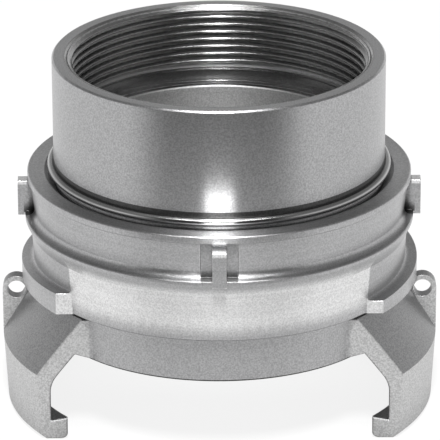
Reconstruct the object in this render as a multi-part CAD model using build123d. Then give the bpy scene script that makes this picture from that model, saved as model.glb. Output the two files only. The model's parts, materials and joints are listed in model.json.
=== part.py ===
"""Symmetrical half coupling for fire hose and suction pipe, with a quarter-turn locking ring.

A cast body carries a pipe-thread socket at the top and two hooks at the bottom. A locking ring turns
on the socket. Its two ramped cams reach under the lips of a second half coupling's hooks, and pull
the two mating faces together. A round snap ring keeps the locking ring on, and a rubber ring seals
the mating face.

Millimetres. The origin is on the axis, level with the bottoms of the hooks. +Z runs up the axis to
the socket's rim, and the hooks are at +X and -X.
"""

import os
from math import asin, degrees, sqrt

from build123d import *

# Levels, from the mating face
hook_reach = 24.7  # mating face down to the bottoms of the hooks
skirt_height = 13.8  # mating face up to the shoulder that carries the locking ring
socket_length = 67.4  # shoulder up to the rim

# Threaded socket
tube_outer_radius = 48.5
thread_root_radius = 43.942  # G 3 pipe thread: 87.884 mm major diameter
thread_length = 20.0
relief_radius = 44.5  # run-out groove below the thread
relief_length = 4.2
waterway_radius = 40.0
step_radius = 42.0  # bevelled step between the run-out groove and the waterway
rim_bevel = 0.8  # inside edge of the rim
rim_round = 0.5  # outside edge of the rim

# Skirt below the locking ring
skirt_radius = 51.5
skirt_edge_round = 0.6
seal_groove_inner_radius = 41.8
seal_groove_width = 5.4
seal_groove_depth = 5.0
seal_proud = 0.9  # how far the rubber stands out of the mating face
seal_clearance = 0.15
seal_lip_width = 2.4

# Locking ring
ring_height = 32.6
ring_clearance = 0.15  # on the socket, all round
ring_end_play = 0.1  # above the shoulder
ring_flange_radius = 56.2
ring_flange_thickness = 2.3
ring_neck_top_radius = 55.6
ring_neck_bottom_radius = 54.4
ring_rim_radius = 57.0
ring_rim_drop = 13.3  # top face down to the ledge
ring_rim_land = 1.2
ring_ledge_width = 0.3  # flat outside the cove
ring_edge_bevel = 0.3
drum_top_radius = 55.2
drum_bottom_radius = 54.4
drum_shoulder_drop = 5.0  # ledge down to the full drum
countersink = 2.6  # for the snap ring, at the top of the bore

# Spanner lugs and their pockets
lug_count = 4
lug_width = 4.0
lug_outer_radius = 59.1
lug_height = 9.4
lug_root_radius = 52.0
pocket_width = 10.8
pocket_floor_radius = 53.4

# Cams on the locking ring
cam_count = 2
cam_outer_radius = 58.3
cam_half_width = 34.3  # the end faces are flats this far each side of the hook plane
cam_thin = 3.9
cam_thick = 6.4
cam_fillet = 1.6
ramp_stations = 9  # sections along a cam's ramp
cam_reach_angle = 48.0  # the ramp is made past both flats, then cut back to them

# Snap ring
wire_radius = 1.3
wire_inset = 0.55  # how far the wire's middle lies outside the socket's surface
wire_clearance = 0.1
wire_gap_width = 7.0

# Hooks
hook_half_width = 36.2  # the hooks' side faces are flats
hook_cone_top_radius = 53.6
hook_cone_top_drop = 0.8  # below the shoulder
hook_shoulder_radius = 64.2
hook_shoulder_drop = 18.2  # below the shoulder
hook_foot_radius = 63.1
hook_foot_bevel = 1.2
hook_wall = 3.6  # of the upright part
hook_cone_wall = 4.6  # of the sloping part, square to its slope
hook_throat_rise = 1.9  # mating face up to the highest point of the inside
hook_arch_radius = 10.0  # between the sloping and the upright inner walls
hook_edge_round = 0.5
hook_root_fillet = 2.0  # between the hooks' side faces and the skirt
lip_thickness = 5.8
lip_slope = 0.9
lip_inner_radius = 56.8
lip_round = 1.7  # lower inner corner of the lip
hook_root_depth = 1.0  # how far a hook's section runs into the skirt

# Eyelets for the chain of a blanking cap
eyelet_thickness = 4.0
eyelet_radius = 4.1
eyelet_hole_radius = 2.7
eyelet_rise = 8.3  # mating face up to the hole's middle

mating_z = hook_reach
shoulder_z = mating_z + skirt_height
rim_z = shoulder_z + socket_length
ring_bottom_z = shoulder_z + ring_end_play
ring_top_z = ring_bottom_z + ring_height
ledge_z = ring_top_z - ring_rim_drop
ring_bore_radius = tube_outer_radius + ring_clearance
hook_upright_radius = hook_shoulder_radius - hook_wall

# The wire lies against the countersink, at 45 degrees, with its clearance between them
wire_path_radius = tube_outer_radius + wire_inset
wire_z = (
    ring_top_z
    - countersink
    + (wire_path_radius - ring_bore_radius)
    + (wire_radius + wire_clearance) * sqrt(2)
)


def turned(points):
    """A solid turned about the Z axis from a closed outline of (radius, height) corners."""
    return revolve(Plane.XZ * make_face(Polyline(*points, close=True)), Axis.Z)


def tall_box(width_x, width_y, low_z, high_z, centre_x=0.0, centre_y=0.0):
    """A box between two heights."""
    block = Box(width_x, width_y, high_z - low_z)
    return Pos(centre_x, centre_y, (low_z + high_z) / 2) * block


def make_socket_and_skirt():
    """The turned part of the body: threaded socket, waterway, skirt and seal groove."""
    thread_end_z = rim_z - thread_length
    relief_end_z = thread_end_z - relief_length
    outline = [
        (waterway_radius, mating_z),
        (skirt_radius - skirt_edge_round, mating_z),
        (skirt_radius, mating_z + skirt_edge_round),
        (skirt_radius, shoulder_z),
        (tube_outer_radius, shoulder_z),
        (tube_outer_radius, rim_z - rim_round),
        (tube_outer_radius - rim_round, rim_z),
        (thread_root_radius + rim_bevel, rim_z),
        (thread_root_radius, rim_z - rim_bevel),
        (thread_root_radius, thread_end_z),
        (relief_radius, thread_end_z - (relief_radius - thread_root_radius)),
        (relief_radius, relief_end_z),
        (step_radius, relief_end_z),
        (waterway_radius, relief_end_z - (step_radius - waterway_radius)),
    ]
    seal_groove = turned(
        [
            (seal_groove_inner_radius, mating_z - 1),
            (seal_groove_inner_radius + seal_groove_width, mating_z - 1),
            (seal_groove_inner_radius + seal_groove_width, mating_z + seal_groove_depth),
            (seal_groove_inner_radius, mating_z + seal_groove_depth),
        ]
    )
    groove_section = Pos(wire_path_radius, wire_z) * Circle(wire_radius + wire_clearance)
    wire_groove = revolve(Plane.XZ * groove_section, Axis.Z)
    return turned(outline) - seal_groove - wire_groove


def hook_outline():
    """The section of a hook on a plane through the axis, as a closed face of (radius, height).

    The inside of the sloping part runs parallel to the outside, one wall's thickness below it.
    """
    cone_run = hook_shoulder_radius - hook_cone_top_radius
    cone_drop = hook_shoulder_drop - hook_cone_top_drop
    cone_top_z = shoulder_z - hook_cone_top_drop
    wall_across = hook_cone_wall * sqrt(cone_run**2 + cone_drop**2) / cone_drop
    throat_z = mating_z + hook_throat_rise
    throat_radius = hook_cone_top_radius + (cone_top_z - throat_z) * cone_run / cone_drop - wall_across
    inner_run = hook_upright_radius - hook_cone_top_radius + wall_across
    inner_corner_z = cone_top_z - inner_run * cone_drop / cone_run
    root_radius = skirt_radius - hook_root_depth
    skirt_corner = (skirt_radius, mating_z + skirt_edge_round)
    lip_tip_z = lip_thickness + lip_slope

    outside = Polyline(
        (root_radius, cone_top_z),
        (hook_cone_top_radius, cone_top_z),
        (hook_shoulder_radius, shoulder_z - hook_shoulder_drop),
        (hook_foot_radius, hook_foot_bevel),
        (hook_foot_radius - hook_foot_bevel, 0),
        (lip_inner_radius + lip_round, 0),
    )
    lip_corner = RadiusArc(outside @ 1, (lip_inner_radius, lip_round), lip_round)
    lip = Polyline(
        lip_corner @ 1,
        (lip_inner_radius, lip_tip_z),
        (hook_upright_radius, lip_thickness),
    )
    inside = FilletPolyline(
        lip @ 1,
        (hook_upright_radius, inner_corner_z),
        (throat_radius, throat_z),
        radius=hook_arch_radius,
    )
    root = Polyline(inside @ 1, skirt_corner, (root_radius, skirt_corner[1]), outside @ 0)
    return make_face([outside, lip_corner, lip, inside, root])


def make_hooks():
    """Both hooks: a full turned band, kept only between the flat side faces, at +X and -X."""
    band = revolve(Plane.XZ * hook_outline(), Axis.Z)
    reach = hook_shoulder_radius + 1
    between_flats = tall_box(2 * reach, 2 * hook_half_width, -1, shoulder_z)
    hooks = band & between_flats
    skirt_x = sqrt(skirt_radius**2 - hook_half_width**2)
    side_edges = [
        edge
        for edge in hooks.edges()
        if abs(abs((edge @ 0.5).Y) - hook_half_width) < 0.001 and abs((edge @ 0.5).X) > skirt_x
    ]
    return fillet(side_edges, hook_edge_round)


def make_eyelet(side):
    """The ear above one hook, with its hole; side is 1 at +X and -1 at -X."""
    centre = (hook_shoulder_radius - eyelet_radius, mating_z + eyelet_rise)
    cone_top_z = shoulder_z - hook_cone_top_drop
    shoulder_corner = (hook_shoulder_radius, shoulder_z - hook_shoulder_drop)
    cone_spread = hook_shoulder_radius - hook_cone_top_radius
    cone_share = (cone_top_z - centre[1]) / (hook_shoulder_drop - hook_cone_top_drop)
    cone_radius = hook_cone_top_radius + cone_spread * cone_share
    web = make_face(
        Polyline(
            (hook_shoulder_radius, centre[1]),
            shoulder_corner,
            (shoulder_corner[0] - hook_wall / 2, shoulder_corner[1]),
            (cone_radius - hook_wall / 2, centre[1]),
            close=True,
        )
    )
    boss = Pos(*centre) * Circle(eyelet_radius)
    profile = web + boss - Pos(*centre) * Circle(eyelet_hole_radius)
    plate = extrude(Plane.XZ * profile, eyelet_thickness / 2, both=True)
    return plate.rotate(Axis.Z, 0 if side > 0 else 180)


def make_body():
    """Socket, skirt, hooks and eyelets, as one casting."""
    body = make_socket_and_skirt() + make_hooks()
    for side in (1, -1):
        body += make_eyelet(side)
    return body


def make_ring_blank():
    """The locking ring before its lugs, pockets and cams: a section turned about the axis.

    From the bottom up: drum, flared rim, cove, neck and top flange, with a countersink for the wire.
    """
    flange_low_z = ring_top_z - ring_flange_thickness
    ledge_inner_radius = ring_rim_radius - ring_edge_bevel - ring_ledge_width
    cove_radius = ledge_inner_radius - ring_neck_bottom_radius
    lower = Polyline(
        (ring_bore_radius, ring_bottom_z),
        (drum_bottom_radius - ring_edge_bevel, ring_bottom_z),
        (drum_bottom_radius, ring_bottom_z + ring_edge_bevel),
        (drum_top_radius, ledge_z - drum_shoulder_drop),
        (ring_rim_radius, ledge_z - ring_rim_land),
        (ring_rim_radius, ledge_z - ring_edge_bevel),
        (ring_rim_radius - ring_edge_bevel, ledge_z),
        (ledge_inner_radius, ledge_z),
    )
    cove = RadiusArc(lower @ 1, (ring_neck_bottom_radius, ledge_z + cove_radius), cove_radius)
    upper = Polyline(
        cove @ 1,
        (ring_neck_top_radius, flange_low_z),
        (ring_flange_radius - ring_edge_bevel, flange_low_z),
        (ring_flange_radius, flange_low_z + ring_edge_bevel),
        (ring_flange_radius, ring_top_z - ring_edge_bevel),
        (ring_flange_radius - ring_edge_bevel, ring_top_z),
        (ring_bore_radius + countersink, ring_top_z),
        (ring_bore_radius, ring_top_z - countersink),
        lower @ 0,
    )
    return revolve(Plane.XZ * make_face([lower, cove, upper]), Axis.Z)


def make_cam():
    """The cam at +X: a flange between two flats, whose top is a helical ramp with a filleted root.

    The ramp runs from the thin leading end, at -Y, to the thick trailing end, at +Y.
    """
    half_angle = degrees(asin(cam_half_width / cam_outer_radius))
    rise_per_degree = (cam_thick - cam_thin) / (2 * half_angle)
    inner = ring_bore_radius + 1
    sections = []
    for step in range(ramp_stations):
        angle = cam_reach_angle * (2 * step / (ramp_stations - 1) - 1)
        top_z = ring_bottom_z + cam_thin + rise_per_degree * (angle + half_angle)
        floor = Polyline((inner, top_z + cam_fillet), (inner, ring_bottom_z - 1))
        below = Line((inner, ring_bottom_z - 1), (cam_outer_radius + 1, ring_bottom_z - 1))
        face = Line((cam_outer_radius + 1, ring_bottom_z - 1), (cam_outer_radius + 1, top_z))
        ramp = Line((cam_outer_radius + 1, top_z), (drum_bottom_radius + cam_fillet, top_z))
        fillet_low = (drum_bottom_radius + cam_fillet, top_z)
        fillet_high = (drum_bottom_radius, top_z + cam_fillet)
        root = RadiusArc(fillet_low, fillet_high, cam_fillet)
        back = Line(fillet_high, (inner, top_z + cam_fillet))
        section = make_face([floor, below, face, ramp, root, back])
        sections.append(Plane.XZ.rotated((0, 0, angle)) * section)
    ramped = loft(sections)
    band = turned(
        [
            (inner, ring_bottom_z),
            (cam_outer_radius, ring_bottom_z),
            (cam_outer_radius, ledge_z),
            (inner, ledge_z),
        ]
    )
    between_flats = tall_box(
        cam_outer_radius + 1,
        2 * cam_half_width,
        ring_bottom_z - 1,
        ledge_z,
        centre_x=(cam_outer_radius + 1) / 2,
    )
    return ramped & band & between_flats


def make_locking_ring():
    """The locking ring: turned section, pockets, spanner lugs and cams."""
    ring = make_ring_blank()
    for number in range(lug_count):
        angle = 360 * number / lug_count
        reach = ring_rim_radius + 1
        pocket = tall_box(
            reach - pocket_floor_radius,
            pocket_width,
            ledge_z,
            ring_top_z - ring_flange_thickness,
            centre_x=(reach + pocket_floor_radius) / 2,
        )
        lug = tall_box(
            lug_outer_radius - lug_root_radius,
            lug_width,
            ledge_z - ring_rim_land,
            ledge_z + lug_height,
            centre_x=(lug_outer_radius + lug_root_radius) / 2,
        )
        ring = ring - pocket.rotate(Axis.Z, angle) + lug.rotate(Axis.Z, angle)
    for number in range(cam_count):
        ring += make_cam().rotate(Axis.Z, 360 * number / cam_count)
    return ring


def make_snap_ring():
    """The round wire ring in the socket's groove, open at +Y so that it can be sprung on."""
    wire = revolve(Plane.XZ * (Pos(wire_path_radius, wire_z) * Circle(wire_radius)), Axis.Z)
    reach = wire_path_radius + 2 * wire_radius
    gap = tall_box(
        wire_gap_width,
        reach,
        wire_z - 2 * wire_radius,
        wire_z + 2 * wire_radius,
        centre_y=reach / 2,
    )
    return wire - gap


def make_face_seal():
    """The rubber ring in the groove of the mating face, with a narrower lip that stands proud."""
    inner = seal_groove_inner_radius + seal_clearance
    outer = seal_groove_inner_radius + seal_groove_width - seal_clearance
    middle = (inner + outer) / 2
    top_z = mating_z + seal_groove_depth
    return turned(
        [
            (inner, top_z),
            (inner, mating_z + seal_proud),
            (middle - seal_lip_width / 2, mating_z - seal_proud),
            (middle + seal_lip_width / 2, mating_z - seal_proud),
            (outer, mating_z + seal_proud),
            (outer, top_z),
        ]
    )


if __name__ == "__main__":
    os.makedirs("parts", exist_ok=True)
    export_step(make_body(), "parts/coupling_body.step")
    export_step(make_locking_ring(), "parts/locking_ring.step")
    export_step(make_snap_ring(), "parts/snap_ring.step")
    export_step(make_face_seal(), "parts/face_seal.step")
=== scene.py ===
"""Looks for a quarter-turn fire hose half coupling in bare cast and turned aluminium.

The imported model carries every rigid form. This script adds the fine pipe thread, the step below it,
the snap ring in its groove, the finishes, the studio and the camera.
"""

import json
from math import cos, pi, radians, sin

import bpy
import numpy as np
from mathutils import Matrix, Vector


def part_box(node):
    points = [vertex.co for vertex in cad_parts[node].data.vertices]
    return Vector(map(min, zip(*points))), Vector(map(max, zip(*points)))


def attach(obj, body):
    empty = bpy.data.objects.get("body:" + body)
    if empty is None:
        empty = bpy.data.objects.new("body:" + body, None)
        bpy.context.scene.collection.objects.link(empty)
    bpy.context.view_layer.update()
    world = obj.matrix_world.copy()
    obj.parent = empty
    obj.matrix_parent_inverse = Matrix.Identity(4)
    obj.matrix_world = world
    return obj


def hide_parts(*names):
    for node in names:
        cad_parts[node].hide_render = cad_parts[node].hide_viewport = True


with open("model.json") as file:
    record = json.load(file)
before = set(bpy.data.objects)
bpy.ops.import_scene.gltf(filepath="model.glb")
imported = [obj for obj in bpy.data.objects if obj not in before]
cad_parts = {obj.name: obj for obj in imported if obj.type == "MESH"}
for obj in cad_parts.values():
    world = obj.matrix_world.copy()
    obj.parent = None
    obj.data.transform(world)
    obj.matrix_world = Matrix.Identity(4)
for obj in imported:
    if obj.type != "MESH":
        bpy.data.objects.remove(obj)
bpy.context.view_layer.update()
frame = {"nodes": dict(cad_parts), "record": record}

MM = 0.001

# Places taken from the frame
MOUNTS = {mount["name"]: mount for mount in frame["record"]["mounts"]}
RIM_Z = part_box("coupling_body")[1].z
RING_TOP_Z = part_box("locking_ring")[1].z
WATERWAY_RADIUS = MOUNTS["waterway"]["dims"]["r_mm"] * MM

# Socket, and the snap ring in its groove
SOCKET_RADIUS = 48.5 * MM
# Radii between which the painted shade of the wire's groove on the outer face, and the bore's finish and
# painted shade, set in
SOCKET_FACE = (0.98 * SOCKET_RADIUS, 0.985 * SOCKET_RADIUS)
BORE_FACE = (SOCKET_RADIUS - 3.0 * MM, SOCKET_RADIUS - 3.8 * MM)
SKIRT_RADIUS = 51.5 * MM
WIRE_RADIUS = 1.15 * MM
WIRE_SINK = 0.45 * MM  # how far the wire lies inside the socket's surface
WIRE_RISE = 0.55 * MM  # above the locking ring's top face
WIRE_GAP = 7.0 * MM
WIRE_STEPS = (180, 20)  # along the wire, round it
GROOVE_TOP = 4.35 * MM  # above the locking ring's top face
GROOVE_BLUR = 0.05 * MM

# Step between the run-out groove and the waterway
STEP_DROP = 24.2 * MM  # below the rim
STEP_EDGE = 0.4 * MM
STEP_WIDTH = 2.4 * MM
STEP_SKIN = 0.03 * MM  # how far the step stands inside the waterway's wall
STEP_LIFT = 0.02 * MM  # above the body's own bevelled step
STEP_SIDES = 180

# Cams, spanner lugs and their pockets
CAM_RADIUS = 54.4 * MM  # a cam's end faces lie outside it
CAM_END = 34.3 * MM  # the end faces' distance from the plane through the hooks
CAM_DROP = (2.0 * MM, 5.0 * MM)  # below the ledge: the painted light on the end face starts, is full
LEDGE_Z = RING_TOP_Z - 13.3 * MM
POCKET_HALF_WIDTH = 5.4 * MM
POCKET_RADIUS = 57.3 * MM
POCKET_FOOT = 3.5 * MM  # above the ledge
LUG_INNER_RADIUS = 56.4 * MM
LUG_TOP_Z = RING_TOP_Z - 3.9 * MM

# Pipe thread: 11 turns to the inch, 55 degree flanks
THREAD_PITCH = 2.309 * MM
THREAD_DEPTH = 1.479 * MM
THREAD_MOUTH = 0.08 * MM  # how far the cone at the mouth is cut in
THREAD_FLANK = 1.28  # steepness of a flank, where 1 is a plain zigzag
THREAD_ROUNDING = 0.35  # how much of the wave is a smooth step, where the rest is straight
THREAD_WALL = 0.03 * MM
THREAD_STEPS_ROUND = 220
THREAD_STEPS_PER_PITCH = 13

# Camera
CAMERA_ELEVATION = radians(21.8)
CAMERA_DISTANCE = 1.2125
CAMERA_AIM_Z = 0.054
CAMERA_ROLL = radians(-0.19)
CAMERA_LENS = 336.7
CAMERA_SHIFT_X = 0.0016

# Studio
CEILING_LIGHT = 0.25  # seen in metal overhead, where the horizon is 1
SOFT_LIGHT = 0.6
FRONT_DARKNESS = 0.98
FLOOR_Z = -0.1 * MM  # just clear of the hooks' feet
FLOOR_HALF_WIDTH = 6.0
FLOOR_PAINTED_SHADOW = (0.04, 0.08)  # radii: the painted shadow under the object, seen in metal, ends over this band
FLOOR_DARK = (0.2, 0.27)  # radii: the dark in front of the object starts over this band
FLOOR_GLOW = 0.85  # the share of plain white where the floor is looked at
LOW_LAMP_GAP = 13.5 * MM  # off the socket's front
LOW_LAMP_RISE = 2.4 * MM  # above the locking ring's top face

# Finish: depths and reaches
EDGE_ROUNDING = 0.25 * MM
EDGE_SAMPLES = 4
# Edges are made bright this far in, for wear and as a painted highlight
WEAR_AND_HIGHLIGHT_REACH = 0.6 * MM
WEAR_AND_HIGHLIGHT_SAMPLES = 6
METAL_RELIEF = 0.04 * MM
WIRE_RELIEF = 0.02 * MM
RUBBER_RELIEF = 0.03 * MM


def grey(value, blue=0.0):
    """A grey, or one with a little more or less blue."""
    return (value, value, value + blue, 1.0)


WHITE = grey(1.0)
TURNED_METAL = grey(0.44, 0.005)
CAST_METAL = grey(0.62)
# Painted shade for cast faces that look upward
UPWARD_PAINTED_SHADE = grey(0.24, 0.005)
# Painted shade: the bore's metal darkened inside the hole
BORE_PAINTED_SHADE = grey(0.34)
WATERWAY_METAL = grey(0.48)
RING_METAL = grey(0.46, 0.005)
# Painted light on the cams' end faces
CAM_END_PAINTED_LIGHT = grey(0.8)
# Edges made bright, for wear and as a painted highlight
RUBBED_AND_HIGHLIT_METAL = grey(0.85)
# Painted highlight on the tops of the spanner lugs
LUG_TOP_PAINTED_HIGHLIGHT = grey(0.9)
WIRE_METAL = grey(0.42)
# Painted shade of the wire's groove
GROOVE_PAINTED_SHADE = grey(0.09)
# Painted shade at the feet of the lugs' pockets
POCKET_PAINTED_SHADE = grey(0.11)
RUBBER = grey(0.018, 0.001)
RUBBER_BLOOM = grey(0.04, -0.002)
PAPER = grey(0.85)


# ---------------------------------------------------------------- node helpers


def new_material(name):
    """An empty material, and its tree."""
    material = bpy.data.materials.new(name)
    material.use_nodes = True
    material.node_tree.nodes.clear()
    return material, material.node_tree


def new_group(name, inputs, outputs):
    """A shader group with inputs (name, kind, value) and float outputs (name)."""
    tree = bpy.data.node_groups.new(name, "ShaderNodeTree")
    for label, kind, value in inputs:
        socket = tree.interface.new_socket(label, in_out="INPUT", socket_type="NodeSocket" + kind)
        if value is not None:
            socket.default_value = value
    for label in outputs:
        tree.interface.new_socket(label, in_out="OUTPUT", socket_type="NodeSocketFloat")
    return tree, tree.nodes.new("NodeGroupInput"), tree.nodes.new("NodeGroupOutput")


def feed(tree, socket, value):
    """Sets a socket, or links it where the value is another socket."""
    if isinstance(value, bpy.types.NodeSocket):
        tree.links.new(value, socket)
    else:
        socket.default_value = value


def node(tree, kind, settings=None, **values):
    """A shader node with its settings, and with values or links for its inputs by name."""
    made = tree.nodes.new("ShaderNode" + kind)
    for key, value in (settings or {}).items():
        setattr(made, key, value)
    for key, value in values.items():
        feed(tree, made.inputs[key.replace("_", " ")], value)
    return made


def place_group(tree, group, **values):
    """A copy of a shared effect in a material."""
    made = tree.nodes.new("ShaderNodeGroup")
    made.node_tree = group
    for key, value in values.items():
        feed(tree, made.inputs[key], value)
    return made


def math(tree, operation, *values):
    """One Math node, as its output socket."""
    made = tree.nodes.new("ShaderNodeMath")
    made.operation = operation
    for socket, value in zip(made.inputs, values):
        feed(tree, socket, value)
    return made.outputs[0]


def multiply(tree, first, *others):
    """The product of masks or values, as one output socket."""
    product = first
    for other in others:
        product = math(tree, "MULTIPLY", product, other)
    return product


def multiply_add(tree, value, factor, added):
    """A value times a factor, plus another value."""
    return math(tree, "MULTIPLY_ADD", value, factor, added)


def one_less(tree, value):
    """1 less a value."""
    return math(tree, "SUBTRACT", 1.0, value)


def vector_math(tree, operation, vector):
    """One Vector Math node with one input."""
    made = node(tree, "VectorMath", {"operation": operation})
    feed(tree, made.inputs[0], vector)
    return made


def remap(tree, value, low, high, to_low=0.0, to_high=1.0):
    """A value taken from one range to another with a smooth step, and held there."""
    made = node(tree, "MapRange", {"interpolation_type": "SMOOTHSTEP"})
    for socket, number in zip(made.inputs, (value, low, high, to_low, to_high)):
        feed(tree, socket, number)
    return made.outputs["Result"]


def mix_colour(tree, factor, first, second, blend="MIX"):
    """One colour Mix node, as its output socket."""
    made = node(tree, "Mix", {"data_type": "RGBA", "blend_type": blend})
    feed(tree, made.inputs["Factor"], factor)
    feed(tree, made.inputs[6], first)
    feed(tree, made.inputs[7], second)
    return made.outputs[2]


def object_position(tree):
    """Object coordinates."""
    return node(tree, "TexCoord").outputs["Object"]


def axis_parts(tree, position):
    """A place's X, Y and Z, its direction from the axis as a flat vector, and that vector's length."""
    x, y, z = node(tree, "SeparateXYZ", Vector=position).outputs
    flat = node(tree, "CombineXYZ", X=x, Y=y).outputs[0]
    return x, y, z, flat, vector_math(tree, "LENGTH", flat).outputs["Value"]


def show(tree, shader, kind="OutputMaterial"):
    """Links a shader to the surface."""
    tree.links.new(shader.outputs[0], node(tree, kind).inputs["Surface"])


# ---------------------------------------------------------------- shared effects


def make_turned_marks():
    """Fine rings left by the lathe tool: noise that runs along radius and height, not round the axis.

    The noise is read in four dimensions: the direction round the axis as a slow unit circle, the
    height and the radius fast, so that the marks close on themselves.
    """
    tree, given, result = new_group(
        "turned_marks",
        [("Position", "Vector", None), ("Marks", "Float", 2400.0), ("Drift", "Float", 1.5)],
        ["Height", "Shade"],
    )
    drift = given.outputs["Drift"]
    _, _, z, flat, radius = axis_parts(tree, given.outputs["Position"])
    around = vector_math(tree, "NORMALIZE", flat).outputs["Vector"]
    around_x, around_y, _ = node(tree, "SeparateXYZ", Vector=around).outputs
    for output, share, detail in (("Height", 1.0, 2.0), ("Shade", 0.45, 1.0)):
        rate = multiply(tree, given.outputs["Marks"], share)
        place = node(
            tree,
            "CombineXYZ",
            X=multiply(tree, around_x, drift),
            Y=multiply(tree, around_y, drift),
            Z=multiply(tree, z, rate),
        )
        marks = node(
            tree,
            "TexNoise",
            {"noise_dimensions": "4D"},
            Vector=place.outputs[0],
            W=multiply(tree, radius, rate),
            Scale=1.0,
            Detail=detail,
        )
        tree.links.new(marks.outputs["Fac"], result.inputs[output])
    return tree


def make_cast_grain():
    """A blasted or moulded skin: fine grain in the height and in the shade, and sparse small pores."""
    tree, given, result = new_group(
        "cast_grain",
        [("Position", "Vector", None), ("Grain", "Float", 2600.0), ("Pores", "Float", 0.0)],
        ["Height", "Shade"],
    )
    position = given.outputs["Position"]
    grain = node(tree, "TexNoise", Vector=position, Scale=given.outputs["Grain"], Detail=2.0)
    blotch = node(tree, "TexNoise", Vector=position, Scale=2200.0, Detail=2.0)
    cells = node(tree, "TexVoronoi", Vector=position, Scale=520.0)
    chosen = node(tree, "SeparateColor", Color=cells.outputs["Color"])
    rare = math(tree, "LESS_THAN", chosen.outputs["Red"], given.outputs["Pores"])
    pore = multiply(tree, remap(tree, cells.outputs["Distance"], 0.28, 0.1), rare)
    height = multiply_add(tree, pore, -2.0, grain.outputs["Fac"])
    tree.links.new(height, result.inputs["Height"])
    tree.links.new(blotch.outputs["Fac"], result.inputs["Shade"])
    return tree


def make_edge_wear_and_highlight():
    """How near a point is to an outer edge: 0 on a flat, 1 on an edge made bright for wear and as a
    painted highlight.
    """
    tree, given, result = new_group(
        "edge_wear_and_highlight",
        [("Position", "Vector", None), ("Width", "Float", WEAR_AND_HIGHLIGHT_REACH), ("Breakup", "Float", 0.5)],
        ["Edge"],
    )
    settings = {"inside": True, "samples": WEAR_AND_HIGHLIGHT_SAMPLES, "only_local": True}
    inside = node(tree, "AmbientOcclusion", settings, Distance=given.outputs["Width"])
    patches = node(tree, "TexNoise", Vector=given.outputs["Position"], Scale=900.0, Detail=2.0)
    bite = multiply(tree, patches.outputs["Fac"], given.outputs["Breakup"])
    edge = math(tree, "SUBTRACT", one_less(tree, inside.outputs["AO"]), bite)
    tree.links.new(remap(tree, edge, 0.14, 0.42), result.inputs["Edge"])
    return tree


def make_dark_front():
    """How much of a direction or a place faces the dark side of the room, where the camera stands."""
    tree, given, result = new_group(
        "dark_front", [("Across", "Float", 0.0), ("Forward", "Float", 0.0)], ["Dark"]
    )
    across, forward = given.outputs["Across"], given.outputs["Forward"]
    flat = node(tree, "CombineXYZ", X=across, Y=forward)
    length = vector_math(tree, "LENGTH", flat.outputs[0]).outputs["Value"]
    share = math(tree, "DIVIDE", forward, math(tree, "MAXIMUM", length, 0.0001))
    tree.links.new(remap(tree, share, -0.5, -0.85), result.inputs["Dark"])
    return tree


TURNED_MARKS = make_turned_marks()
CAST_GRAIN = make_cast_grain()
EDGE_WEAR_AND_HIGHLIGHT = make_edge_wear_and_highlight()
DARK_FRONT = make_dark_front()


# ---------------------------------------------------------------- materials


def toned(tree, colour, *shades):
    """A colour darkened and lightened by one or more shades about 1."""
    for shade in shades:
        colour = mix_colour(tree, 1.0, colour, shade, "MULTIPLY")
    return colour


def rubbed_and_highlit(tree, edge, colour):
    """A colour made bright along edges, for wear and as a painted highlight."""
    return mix_colour(tree, multiply(tree, edge, 0.7), colour, RUBBED_AND_HIGHLIT_METAL)


def bare_metal(tree, colour, roughness, relief, anisotropy):
    """Bare metal whose highlights are drawn out across the turned marks, with its edges rounded."""
    rounded = node(tree, "Bevel", {"samples": EDGE_SAMPLES}, Radius=EDGE_ROUNDING)
    normal = rounded.outputs["Normal"]
    bump = node(tree, "Bump", Height=relief, Distance=METAL_RELIEF, Strength=0.5, Normal=normal)
    round_axis = node(tree, "Tangent", {"direction_type": "RADIAL", "axis": "Z"})
    return node(
        tree,
        "BsdfPrincipled",
        Base_Color=colour,
        Metallic=1.0,
        Roughness=roughness,
        Anisotropic=anisotropy,
        Anisotropic_Rotation=0.25,
        Tangent=round_axis.outputs[0],
        Normal=bump.outputs["Normal"],
    )


def groove_mask(tree, height, radius):
    """1 on the socket's outer face between the locking ring's top and the top of the wire's groove, where
    the groove's shade is painted.
    """
    groove_z = RING_TOP_Z + GROOVE_TOP
    return multiply(
        tree,
        remap(tree, height, groove_z + GROOVE_BLUR, groove_z),
        remap(tree, height, RING_TOP_Z - GROOVE_BLUR, RING_TOP_Z),
        remap(tree, radius, *SOCKET_FACE),
    )


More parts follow.
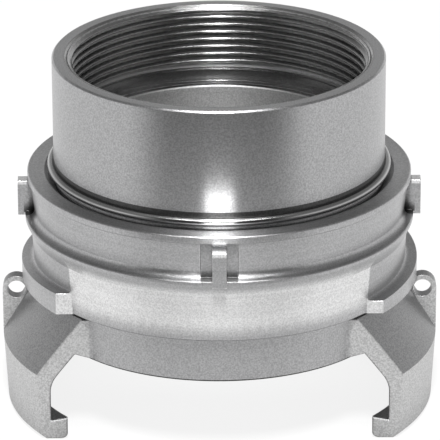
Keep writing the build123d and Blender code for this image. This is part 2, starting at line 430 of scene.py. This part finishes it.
def make_cast_body():
    """Aluminium body: turned socket and skirt, blasted hooks and ears as they left the mould."""
    material, tree = new_material("cast_body")
    position = object_position(tree)
    _, _, height, _, radius = axis_parts(tree, position)
    turned = place_group(tree, TURNED_MARKS, Position=position)
    grain = place_group(tree, CAST_GRAIN, Position=position)
    edge = place_group(tree, EDGE_WEAR_AND_HIGHLIGHT, Position=position).outputs["Edge"]

    # Everything further out than the skirt is as cast, and so is the waterway
    cast = remap(tree, radius, SKIRT_RADIUS + 0.4 * MM, SKIRT_RADIUS + 1.0 * MM)
    waterway = remap(tree, radius, WATERWAY_RADIUS + 0.4 * MM, WATERWAY_RADIUS + 0.1 * MM)
    bore = remap(tree, radius, *BORE_FACE)
    # Painted shade: cast faces that look upward are darkened, standing in for the darker room they reflect
    upright = node(tree, "SeparateXYZ", Vector=node(tree, "NewGeometry").outputs["Normal"])
    upward_shade = multiply(tree, cast, remap(tree, upright.outputs["Z"], 0.25, 0.6), 0.8)
    plain = mix_colour(tree, cast, TURNED_METAL, CAST_METAL)
    plain = mix_colour(tree, upward_shade, plain, UPWARD_PAINTED_SHADE)
    # Painted shade: the bore is darkened inside the hole
    plain = mix_colour(tree, bore, plain, BORE_PAINTED_SHADE)
    plain = mix_colour(tree, waterway, plain, WATERWAY_METAL)
    # Painted shade of the wire's groove, in a band above the locking ring
    plain = mix_colour(tree, groove_mask(tree, height, radius), plain, GROOVE_PAINTED_SHADE)
    shade = remap(tree, grain.outputs["Shade"], 0.3, 0.7, 0.8, 1.16)
    # Edges made bright, for wear and as a painted highlight
    colour = rubbed_and_highlit(tree, edge, toned(tree, plain, shade))

    roughness = multiply_add(tree, waterway, 0.37, 0.34)
    for mask, change in ((cast, 0.12), (bore, -0.1), (edge, 0.2)):
        roughness = multiply_add(tree, mask, change, roughness)

    both = multiply_add(tree, turned.outputs["Height"], 0.4, grain.outputs["Height"])
    rough_skin = math(tree, "MAXIMUM", cast, waterway)
    relief = mix_colour(tree, rough_skin, both, grain.outputs["Height"])
    show(tree, bare_metal(tree, colour, roughness, relief, 0.5))
    return material


def lug_top_highlight_mask(tree, height, radius):
    """1 on the tops of the spanner lugs, where a highlight is painted."""
    return multiply(
        tree,
        remap(tree, radius, LUG_INNER_RADIUS, LUG_INNER_RADIUS + 0.2 * MM),
        remap(tree, height, LUG_TOP_Z - 1.4 * MM, LUG_TOP_Z - 0.8 * MM),
    )


def cam_end_light_mask(tree, along, height, radius):
    """1 on the flat end faces of the cams, where light is painted."""
    low, full = CAM_DROP
    return multiply(
        tree,
        remap(tree, along, CAM_END - 0.15 * MM, CAM_END - 0.05 * MM),
        remap(tree, radius, CAM_RADIUS, CAM_RADIUS + 0.3 * MM),
        remap(tree, height, LEDGE_Z - low, LEDGE_Z - full),
    )


def pocket_foot_shade_mask(tree, across, along, height, radius):
    """1 at the feet of the lugs' pockets, just above the ledge, fading upwards: where shade is painted."""
    nearest = math(tree, "MINIMUM", across, along)
    return multiply(
        tree,
        remap(tree, nearest, POCKET_HALF_WIDTH, POCKET_HALF_WIDTH - 0.3 * MM),
        remap(tree, radius, POCKET_RADIUS + 0.3 * MM, POCKET_RADIUS),
        remap(tree, height, LEDGE_Z + POCKET_FOOT, LEDGE_Z),
        remap(tree, height, LEDGE_Z - 0.6 * MM, LEDGE_Z - 0.2 * MM),
    )


def make_turned_ring():
    """Aluminium locking ring, turned all over: painted light on its lug tops and cam ends, painted shade
    at its pockets' feet.
    """
    material, tree = new_material("turned_ring")
    position = object_position(tree)
    x, y, height, _, radius = axis_parts(tree, position)
    across, along = math(tree, "ABSOLUTE", x), math(tree, "ABSOLUTE", y)
    turned = place_group(tree, TURNED_MARKS, Position=position, Marks=2000.0)
    grain = place_group(tree, CAST_GRAIN, Position=position)
    edge = place_group(tree, EDGE_WEAR_AND_HIGHLIGHT, Position=position).outputs["Edge"]

    # Painted highlight on the lug tops
    plain = mix_colour(tree, lug_top_highlight_mask(tree, height, radius), RING_METAL, LUG_TOP_PAINTED_HIGHLIGHT)
    # Painted light on the cams' end faces
    plain = mix_colour(tree, cam_end_light_mask(tree, along, height, radius), plain, CAM_END_PAINTED_LIGHT)
    # Painted shade: the feet of the pockets are darkened
    pocket_shade = pocket_foot_shade_mask(tree, across, along, height, radius)
    plain = mix_colour(tree, pocket_shade, plain, POCKET_PAINTED_SHADE)
    shade = remap(tree, turned.outputs["Shade"], 0.3, 0.7, 0.96, 1.04)
    blotch = remap(tree, grain.outputs["Shade"], 0.3, 0.7, 0.84, 1.14)
    # Edges made bright, for wear and as a painted highlight
    colour = rubbed_and_highlit(tree, edge, toned(tree, plain, shade, blotch))

    roughness = multiply_add(tree, edge, 0.2, 0.35)
    relief = multiply_add(tree, turned.outputs["Height"], 0.4, grain.outputs["Height"])
    show(tree, bare_metal(tree, colour, roughness, relief, 0.75))
    return material


def make_spring_wire():
    """Drawn spring wire, smooth and a little darkened."""
    material, tree = new_material("spring_wire")
    turned = place_group(tree, TURNED_MARKS, Position=object_position(tree), Marks=3500.0)
    shade = remap(tree, turned.outputs["Shade"], 0.3, 0.7, 0.85, 1.1)
    bump = node(tree, "Bump", Height=turned.outputs["Height"], Distance=WIRE_RELIEF, Strength=0.4)
    shader = node(
        tree,
        "BsdfPrincipled",
        Base_Color=toned(tree, WIRE_METAL, shade),
        Metallic=1.0,
        Roughness=0.22,
        Normal=bump.outputs["Normal"],
    )
    show(tree, shader)
    return material


def make_seal_rubber():
    """Black nitrile, dull, with a bloom of dust."""
    material, tree = new_material("seal_rubber")
    grain = place_group(tree, CAST_GRAIN, Position=object_position(tree), Pores=0.05)
    bloom = remap(tree, grain.outputs["Shade"], 0.35, 0.75)
    bump = node(tree, "Bump", Height=grain.outputs["Height"], Distance=RUBBER_RELIEF, Strength=0.4)
    shader = node(
        tree,
        "BsdfPrincipled",
        Base_Color=mix_colour(tree, bloom, RUBBER, RUBBER_BLOOM),
        Roughness=multiply_add(tree, bloom, 0.15, 0.6),
        Normal=bump.outputs["Normal"],
    )
    show(tree, shader)
    return material


def dress(piece, material):
    """Gives every face of a piece one material."""
    if not piece.material_slots:
        piece.data.materials.append(material)
    for slot in piece.material_slots:
        slot.material = material


# ---------------------------------------------------------------- thread, step and snap ring


def add_object(name, data):
    """An object in the scene, at the origin."""
    made = bpy.data.objects.new(name, data)
    bpy.context.scene.collection.objects.link(made)
    return made


def add_grid_mesh(name, points, closed_round=True):
    """A closed shell from a grid of points [round, along, xyz].

    The grid closes on itself along its columns. It also closes round its rows, or else the first
    and last row each get an end face.
    """
    rows, columns, _ = points.shape
    row = np.arange(rows if closed_round else rows - 1)[:, None]
    column = np.arange(columns)[None, :]
    next_row = (row + 1) % rows * columns
    next_column = (column + 1) % columns
    here, after = row * columns + column, row * columns + next_column
    faces = np.stack([here, next_row + column, next_row + next_column, after], axis=-1)
    faces = faces.reshape(-1, 4).tolist()
    if not closed_round:
        faces.append(np.arange(columns).tolist())
        faces.append(((rows - 1) * columns + np.arange(columns)[::-1]).tolist())
    mesh = bpy.data.meshes.new(name)
    mesh.from_pydata(points.reshape(-1, 3).tolist(), [], faces)
    mesh.shade_smooth()
    mesh.update()
    return add_object(name, mesh)


def turn_profile(radius, height, angle):
    """Points [round, along, xyz] of a profile of radii and heights carried round the axis.

    A point is at radius times the cosine and the sine of the angle, and at the height. The radii
    may be one row, or a row for each angle.
    """
    angle = angle[:, None]
    height = np.broadcast_to(height, (len(angle), len(height)))
    return np.stack([radius * np.cos(angle), radius * np.sin(angle), height], axis=-1)


def make_thread():
    """The pipe thread, as a thin sleeve on the wall of the socket's hole.

    At height z and angle a the phase is z over the pitch less a over one turn. The radius is the
    root radius less the depth times a crest wave, which is 1 on a crest and 0 in a root, with
    straight flanks and rounded ends. A cone at 45 degrees cuts the crests at the mouth, and the
    thread fades out over its last turn. The sleeve's back is a plain cylinder.
    """
    mount = MOUNTS["thread_socket"]
    wall_radius = mount["dims"]["r_mm"] * MM
    length = mount["dims"]["length_mm"] * MM
    top = mount["pos_m"][2] + length / 2
    angle = np.linspace(0, 2 * pi, THREAD_STEPS_ROUND, endpoint=False)
    drop = np.linspace(0, length, int(length / THREAD_PITCH * THREAD_STEPS_PER_PITCH))
    phase = drop / THREAD_PITCH - angle[:, None] / (2 * pi)
    saw = np.abs(2 * (phase - np.floor(phase)) - 1)
    flank = np.clip((saw - 0.5) * THREAD_FLANK + 0.5, 0, 1)
    smooth = flank * flank * (3 - 2 * flank)
    crest = smooth * THREAD_ROUNDING + flank * (1 - THREAD_ROUNDING)
    fade = np.clip((length - drop) / THREAD_PITCH, 0, 1)
    cone = np.clip((drop + THREAD_MOUTH) / THREAD_DEPTH, 0, 1)
    radius = wall_radius - THREAD_WALL - THREAD_DEPTH * np.minimum(crest * fade, cone)
    back = np.full((len(angle), 2), wall_radius - THREAD_WALL / 3)
    radius = np.concatenate([radius, back], axis=1)
    height = np.concatenate([top - drop, [top - length, top]])
    return add_grid_mesh("pipe_thread", turn_profile(radius, height, angle))


def make_waterway_step():
    """The square step below the run-out groove: a flat top, a small broken edge and the bore's wall."""
    top = RIM_Z - STEP_DROP + STEP_LIFT
    inner = WATERWAY_RADIUS - STEP_SKIN
    radius = np.array([inner + STEP_WIDTH, inner + STEP_EDGE, inner, inner, inner + STEP_WIDTH / 2])
    height = np.array([top, top, top - STEP_EDGE, top - STEP_WIDTH, top - STEP_WIDTH])
    angle = np.linspace(0, 2 * pi, STEP_SIDES, endpoint=False)
    piece = add_grid_mesh("waterway_step", turn_profile(radius, height, angle))
    piece.data.shade_flat()
    return piece


def make_spring_ring():
    """The snap ring: a round wire carried round the socket in its groove, with a gap at the back.

    Each section is a circle of the wire's radius, at the path's radius, over the angles that the
    gap leaves. The two cut ends are flat.
    """
    steps_along, steps_round = WIRE_STEPS
    path_radius = SOCKET_RADIUS + WIRE_RADIUS - WIRE_SINK
    half_gap = WIRE_GAP / 2 / path_radius
    angle = np.linspace(pi / 2 + half_gap, 5 * pi / 2 - half_gap, steps_along)
    turn = np.linspace(0, 2 * pi, steps_round, endpoint=False)
    radius = path_radius + WIRE_RADIUS * np.cos(turn)
    height = RING_TOP_Z + WIRE_RISE + WIRE_RADIUS + WIRE_RADIUS * np.sin(turn)
    return add_grid_mesh("spring_ring", turn_profile(radius, height, angle), closed_round=False)


# ---------------------------------------------------------------- camera and studio


def make_camera():
    """A long lens in front of the object, looking down at it."""
    data = bpy.data.cameras.new("camera")
    data.sensor_width = 36.0
    data.lens = CAMERA_LENS
    data.shift_x = CAMERA_SHIFT_X
    data.clip_end = 20.0
    camera = add_object("camera", data)
    back = CAMERA_DISTANCE * cos(CAMERA_ELEVATION)
    rise = CAMERA_DISTANCE * sin(CAMERA_ELEVATION)
    place = Matrix.Translation((0.0, -back, CAMERA_AIM_Z + rise))
    tilt = Matrix.Rotation(pi / 2 - CAMERA_ELEVATION, 4, "X")
    camera.matrix_world = place @ tilt @ Matrix.Rotation(CAMERA_ROLL, 4, "Z")
    bpy.context.scene.camera = camera


def away_from_front(tree, across, forward, darkness):
    """1, less the room's darkness where a direction or a place lies to the front."""
    front = place_group(tree, DARK_FRONT, Across=across, Forward=forward)
    return one_less(tree, multiply(tree, front.outputs["Dark"], darkness))


def make_floor():
    """A wide pale floor that reads as white and keeps the object's shadow."""
    material, tree = new_material("studio_floor")
    path = node(tree, "LightPath").outputs
    x, y, _, _, radius = axis_parts(tree, object_position(tree))
    away = away_from_front(tree, x, y, remap(tree, radius, *FLOOR_DARK, 0.0, FRONT_DARKNESS))
    # Painted shadow: seen in metal, the floor's glow is dark under the object
    shown_in_metal = multiply(tree, remap(tree, radius, *FLOOR_PAINTED_SHADOW), away)
    seen_plain = math(tree, "ADD", path["Is Camera Ray"], path["Is Transmission Ray"])
    strength = multiply_add(tree, path["Is Glossy Ray"], shown_in_metal, seen_plain)
    paper = node(tree, "BsdfPrincipled", Base_Color=PAPER, Roughness=0.9)
    glow = node(tree, "Emission", Color=WHITE, Strength=strength)
    mixed = node(tree, "MixShader")
    feed(tree, mixed.inputs[0], multiply_add(tree, seen_plain, FLOOR_GLOW, path["Is Glossy Ray"]))
    tree.links.new(paper.outputs[0], mixed.inputs[1])
    tree.links.new(glow.outputs[0], mixed.inputs[2])
    show(tree, mixed)

    mesh = bpy.data.meshes.new("studio_floor")
    signs = ((-1, -1), (1, -1), (1, 1), (-1, 1))
    corners = [(x * FLOOR_HALF_WIDTH, y * FLOOR_HALF_WIDTH, FLOOR_Z) for x, y in signs]
    mesh.from_pydata(corners, [], [(0, 1, 2, 3)])
    mesh.materials.append(material)
    add_object("studio_floor", mesh)


def make_world():
    """White to the eye and in reflections, and a plain soft light otherwise."""
    world = bpy.data.worlds.new("studio")
    bpy.context.scene.world = world
    world.use_nodes = True
    tree = world.node_tree
    tree.nodes.clear()
    path = node(tree, "LightPath").outputs
    direction = node(tree, "TexCoord").outputs["Generated"]
    x, y, z = node(tree, "SeparateXYZ", Vector=direction).outputs
    dimmed = remap(tree, z, 0.02, 0.5, 1.0, CEILING_LIGHT)
    shown = multiply(tree, dimmed, away_from_front(tree, x, y, FRONT_DARKNESS))
    seen_plain = math(tree, "ADD", path["Is Camera Ray"], path["Is Transmission Ray"])
    seen = multiply_add(tree, path["Is Glossy Ray"], shown, seen_plain)
    strength = multiply_add(tree, path["Is Diffuse Ray"], SOFT_LIGHT, seen)
    show(tree, node(tree, "Background", Color=WHITE, Strength=strength), "OutputWorld")


def add_lamp(name, place, aim, size, power):
    """A soft rectangular lamp that looks at a point."""
    data = bpy.data.lights.new(name, "AREA")
    data.shape = "RECTANGLE"
    data.size, data.size_y = size
    data.energy = power
    lamp = add_object(name, data)
    turn = (Vector(aim) - Vector(place)).to_track_quat("-Z", "Y").to_matrix().to_4x4()
    lamp.matrix_world = Matrix.Translation(place) @ turn


def make_studio():
    """The floor, the room, and three lamps: one narrow, one wide, one small and close to the socket."""
    make_floor()
    make_world()
    middle = (0.0, 0.0, 0.06)
    # The low lamp gives the bright spot at the foot of the socket
    low_z = RING_TOP_Z + LOW_LAMP_RISE
    low_place = (0.0, -SOCKET_RADIUS - LOW_LAMP_GAP, low_z)
    add_lamp("front_lamp", place=(0.0, -0.8, 1.25), aim=middle, size=(0.14, 0.3), power=22.0)
    add_lamp("high_lamp", place=(0.0, -0.45, 1.17), aim=middle, size=(0.9, 0.12), power=4.0)
    add_lamp("low_lamp", place=low_place, aim=(0.0, 0.0, low_z), size=(0.012, 0.004), power=0.0011)


# ---------------------------------------------------------------- scene

bpy.context.scene.view_settings.view_transform = "Standard"
make_camera()
make_studio()

CAST_BODY = make_cast_body()
dress(frame["nodes"]["coupling_body"], CAST_BODY)
dress(frame["nodes"]["locking_ring"], make_turned_ring())
SPRING_WIRE = make_spring_wire()
dress(frame["nodes"]["snap_ring"], SPRING_WIRE)
dress(frame["nodes"]["face_seal"], make_seal_rubber())

thread = make_thread()
dress(thread, CAST_BODY)
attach(thread, "body")

step = make_waterway_step()
dress(step, CAST_BODY)
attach(step, "body")

spring = make_spring_ring()
dress(spring, SPRING_WIRE)
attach(spring, "body")
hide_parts("snap_ring")
